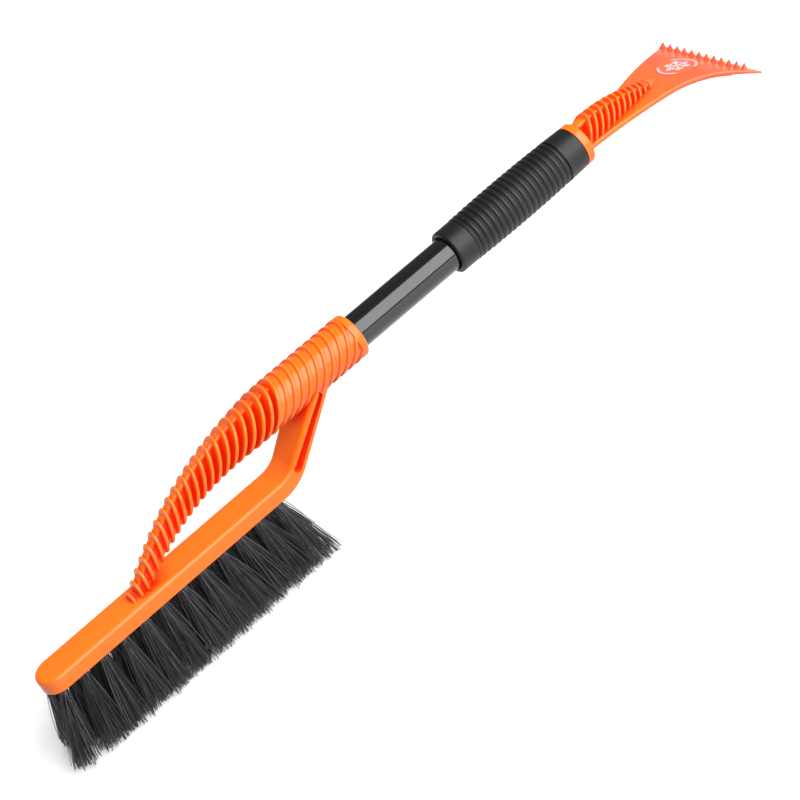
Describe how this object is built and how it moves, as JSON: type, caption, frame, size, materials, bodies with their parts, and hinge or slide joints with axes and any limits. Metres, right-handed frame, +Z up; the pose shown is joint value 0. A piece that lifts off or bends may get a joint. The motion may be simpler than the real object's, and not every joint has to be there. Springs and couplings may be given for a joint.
{
  "type": "snow brush with ice scraper",
  "caption": "Snow brush with a bristle block, curved ribbed handle, bare metal tube, ribbed rubber grip and a flared ice scraper with a row of teeth.",
  "frame": {"origin": "on the ground that the bristle tips touch, under the middle of the tool", "axes": "+X along the tube from the brush towards the scraper, +Y across the tool, +Z up, bristles point to -Z"},
  "size_m": [0.5845, 0.0922, 0.1175],
  "materials": {
    "orange_plastic": "glossy moulded orange plastic",
    "black_tube": "gloss black lacquer on metal",
    "black_rubber": "satin moulded rubber",
    "black_bristle": "stiff plastic filaments with a slight sheen",
    "staple_wire": "plain wire",
    "label_print": "thin printed oval"
  },
  "bodies": {
    "root": {"brush_head": "orange_plastic", "scraper_head": "orange_plastic", "tube": "black_tube", "grip": "black_rubber", "oval_label": "label_print", "tuft_staples": "staple_wire", "tuft_near_01": "black_bristle", "tuft_near_02": "black_bristle", "tuft_near_03": "black_bristle", "tuft_near_04": "black_bristle", "tuft_near_05": "black_bristle", "tuft_near_06": "black_bristle", "tuft_near_07": "black_bristle", "tuft_near_08": "black_bristle", "tuft_near_09": "black_bristle", "tuft_near_10": "black_bristle", "tuft_near_11": "black_bristle", "tuft_near_12": "black_bristle", "tuft_middle_01": "black_bristle", "tuft_middle_02": "black_bristle", "tuft_middle_03": "black_bristle", "tuft_middle_04": "black_bristle", "tuft_middle_05": "black_bristle", "tuft_middle_06": "black_bristle", "tuft_middle_07": "black_bristle", "tuft_middle_08": "black_bristle", "tuft_middle_09": "black_bristle", "tuft_middle_10": "black_bristle", "tuft_middle_11": "black_bristle", "tuft_middle_12": "black_bristle", "tuft_far_01": "black_bristle", "tuft_far_02": "black_bristle", "tuft_far_03": "black_bristle", "tuft_far_04": "black_bristle", "tuft_far_05": "black_bristle", "tuft_far_06": "black_bristle", "tuft_far_07": "black_bristle", "tuft_far_08": "black_bristle", "tuft_far_09": "black_bristle", "tuft_far_10": "black_bristle", "tuft_far_11": "black_bristle", "tuft_far_12": "black_bristle"}
  },
  "joints": []
}
